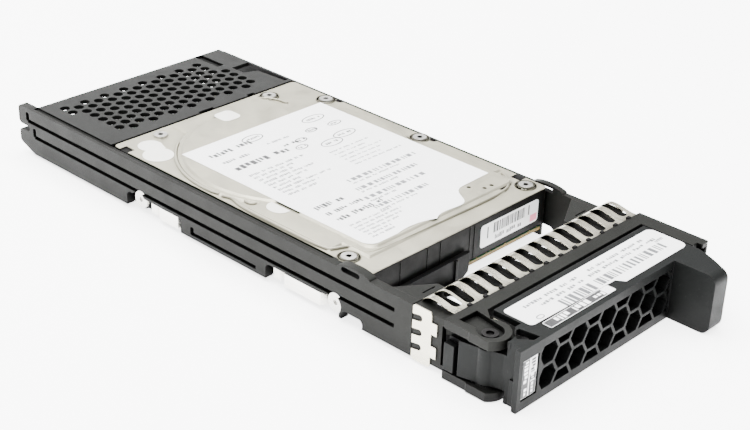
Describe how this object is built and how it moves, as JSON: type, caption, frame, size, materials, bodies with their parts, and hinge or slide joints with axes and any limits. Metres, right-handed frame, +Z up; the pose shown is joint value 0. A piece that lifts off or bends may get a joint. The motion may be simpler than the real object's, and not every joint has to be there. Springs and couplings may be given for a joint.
{
  "type": "hard disk drive in hot-swap carrier",
  "caption": "Hard disk drive in a dark hot-swap carrier with rails, vented rear plate, spring strips and a hinged honeycomb ejector lever at the front.",
  "frame": {"origin": "centre of the footprint at the lowest point, the underside of the ejector lever", "axes": "+X to the right seen from the bezel, +Y to the rear connector, +Z up out of the cover; the bezel faces -Y"},
  "size_m": [0.0778, 0.203, 0.0174],
  "materials": {
    "tray_plastic": "fine matt moulding",
    "lever_plastic": "fine matt moulding",
    "vent_paint": "satin dark grey",
    "spring_steel": "bright stamped spring steel",
    "screw_steel": "zinc plated",
    "pin_plastic": "dark pin",
    "cover_metal": "satin stamped",
    "casting": "dark coated casting",
    "label_paper": "satin printed label",
    "seal_foil": "pale foil seal",
    "board_green": "solder resist",
    "chip_epoxy": "moulded package",
    "connector_plastic": "glass filled plastic",
    "disc_mirror": "polished disc",
    "machined_aluminium": "machined",
    "magnet_nickel": "nickel plated",
    "coil_copper": "enamelled copper wire",
    "gasket_rubber": "foam in place",
    "ramp_plastic": "natural acetal",
    "filter_fabric": "pleated fibre",
    "flex_polyimide": "amber film"
  },
  "bodies": {
    "carrier": {"tray_left_rail": "tray_plastic", "tray_right_rail": "tray_plastic", "rear_vent_plate": "vent_paint", "front_frame": "tray_plastic", "front_cross_panel": "tray_plastic", "emi_strip_top": "spring_steel", "emi_strip_bottom": "spring_steel", "emi_strip_left": "spring_steel", "emi_strip_right": "spring_steel", "lever_pin": "pin_plastic", "left_ground_springs": "spring_steel", "right_ground_springs": "spring_steel", "carrier_screws": "screw_steel", "drive_base": "casting", "drive_cover": "cover_metal", "cover_gasket": "gasket_rubber", "cover_screws": "screw_steel", "cover_label": "label_paper", "cover_seals": "seal_foil", "front_sticker": "label_paper", "circuit_board": "board_green", "board_chips": "chip_epoxy", "board_screws": "screw_steel", "sas_connector": "connector_plastic", "spindle_motor": "screw_steel", "pivot_post": "screw_steel", "lower_yoke": "magnet_nickel", "upper_yoke": "magnet_nickel", "yoke_magnets": "magnet_nickel", "yoke_post": "screw_steel", "load_ramp": "ramp_plastic", "crash_stops": "gasket_rubber", "recirculation_filter": "filter_fabric", "flex_bracket": "machined_aluminium", "flex_circuit": "flex_polyimide", "interposer_board": "board_green", "interposer_screws": "screw_steel", "drive_socket": "connector_plastic", "backplane_plug": "connector_plastic", "interposer_chips": "chip_epoxy"},
    "lever": {"ejector_lever": "lever_plastic", "lever_label": "label_paper", "lever_code_strip": "label_paper", "bezel_label": "label_paper"},
    "disc_pack": {"spindle_hub": "machined_aluminium", "platter_bottom": "disc_mirror", "platter_middle": "disc_mirror", "platter_top": "disc_mirror", "platter_spacers": "machined_aluminium", "disc_clamp": "machined_aluminium", "clamp_screws": "screw_steel"},
    "head_stack": {"actuator_arm": "machined_aluminium", "pivot_bearings": "screw_steel", "voice_coil": "coil_copper", "head_suspensions": "spring_steel"}
  },
  "joints": [
    {"name": "lever_hinge", "type": "hinge", "parent": "carrier", "child": "lever", "pos_m": [-0.0348, -0.0787, 0.0083], "axis": [0, 0, -1], "range_deg": [0, 50]},
    {"name": "spindle_spin", "type": "hinge", "parent": "carrier", "child": "disc_pack", "pos_m": [0, 0.0209, 0.01], "axis": [0, 0, 1], "continuous": true},
    {"name": "actuator_swing", "type": "hinge", "parent": "carrier", "child": "head_stack", "pos_m": [0.017, -0.0251, 0.01], "axis": [0, 0, -1], "range_deg": [0, 28]}
  ]
}
